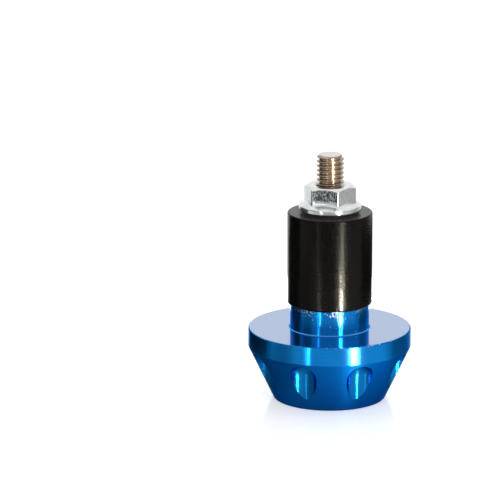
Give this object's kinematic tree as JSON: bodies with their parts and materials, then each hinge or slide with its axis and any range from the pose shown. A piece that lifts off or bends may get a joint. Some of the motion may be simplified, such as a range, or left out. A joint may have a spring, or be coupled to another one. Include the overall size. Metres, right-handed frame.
{
  "type": "bar end weight",
  "caption": "Scalloped conical handlebar end weight with a dished face, an expanding rubber sleeve, a flange nut and a through screw that tightens it.",
  "frame": {"origin": "centre of the head's seat face, which meets the end of the handlebar", "axes": "+Z along the screw, into the handlebar; -Y is the side that the camera sees"},
  "size_m": [0.035, 0.035, 0.0536],
  "materials": {
    "anodised_blue": "turned, anodised blue, bright",
    "screw_steel": "rolled thread, pale champagne plating",
    "black_rubber": "semi-matt moulded",
    "zinc_steel": "bright zinc plating"
  },
  "bodies": {
    "head": {"bar_end_head": "anodised_blue", "expander_sleeve": "black_rubber"},
    "screw": {"clamp_screw": "screw_steel"},
    "nut": {"flange_nut": "zinc_steel"}
  },
  "joints": [
    {"name": "screw_turn", "type": "hinge", "parent": "head", "child": "screw", "pos_m": [0, 0, 0], "axis": [0, 0, 1], "range_deg": [0, 900]},
    {"name": "nut_draw", "type": "slide", "parent": "head", "child": "nut", "axis": [0, 0, -1], "range_m": [0, 0.0026], "deforming": ["expander_sleeve"]}
  ],
  "couplings": [
    {"joint": "nut_draw", "follows": "screw_turn", "m_per_rad": 0.00015915}
  ]
}
